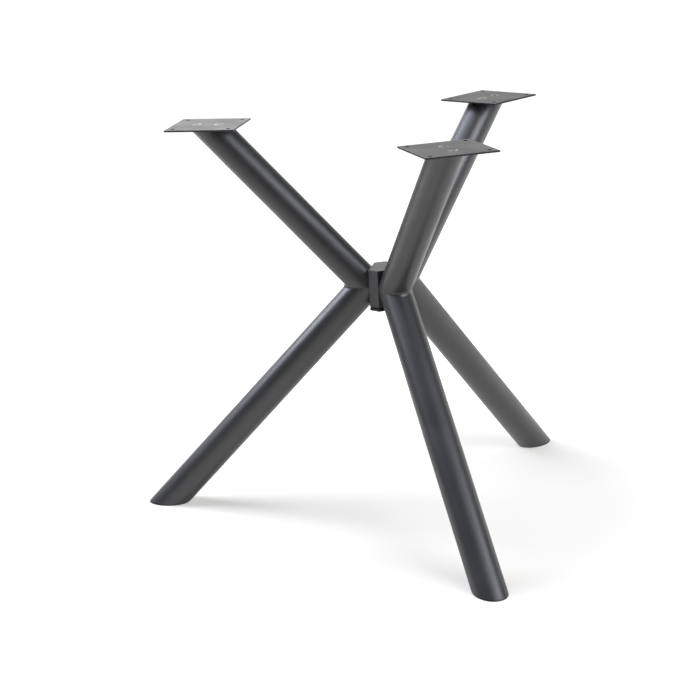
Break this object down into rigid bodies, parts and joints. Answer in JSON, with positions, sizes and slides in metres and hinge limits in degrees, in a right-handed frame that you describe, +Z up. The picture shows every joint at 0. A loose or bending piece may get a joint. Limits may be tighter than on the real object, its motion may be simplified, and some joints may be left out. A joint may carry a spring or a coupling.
{
  "type": "table base",
  "caption": "Spider table base: splayed round steel tubes mitred at an elbow and bolted to a prismatic hub, with square screw-on top plates and black foot caps.",
  "frame": {"origin": "the point on the floor below the hub, on the hub's axis", "axes": "+Z up along the hub's axis; the left leg points along -X, the front leg to +X -Y, the back leg to +X +Y"},
  "size_m": [0.7183, 0.8214, 0.71],
  "materials": {
    "powder_coat": "satin anthracite-black powder coat",
    "black_plastic": "fine matt moulding grain",
    "black_steel": "blackened steel, rubbed bright at its edges"
  },
  "bodies": {
    "root": {"left_leg_upper_tube": "powder_coat", "left_leg_lower_tube": "powder_coat", "left_leg_hub_plate": "powder_coat", "left_leg_top_insert": "powder_coat", "left_leg_top_plate": "powder_coat", "left_leg_foot_cap": "black_plastic", "front_leg_upper_tube": "powder_coat", "front_leg_lower_tube": "powder_coat", "front_leg_hub_plate": "powder_coat", "front_leg_top_insert": "powder_coat", "front_leg_top_plate": "powder_coat", "front_leg_foot_cap": "black_plastic", "back_leg_upper_tube": "powder_coat", "back_leg_lower_tube": "powder_coat", "back_leg_hub_plate": "powder_coat", "back_leg_top_insert": "powder_coat", "back_leg_top_plate": "powder_coat", "back_leg_foot_cap": "black_plastic", "hub_body": "powder_coat", "hub_bottom_cap": "black_plastic", "hub_bolts": "black_steel", "plate_screws": "black_steel"}
  },
  "joints": []
}
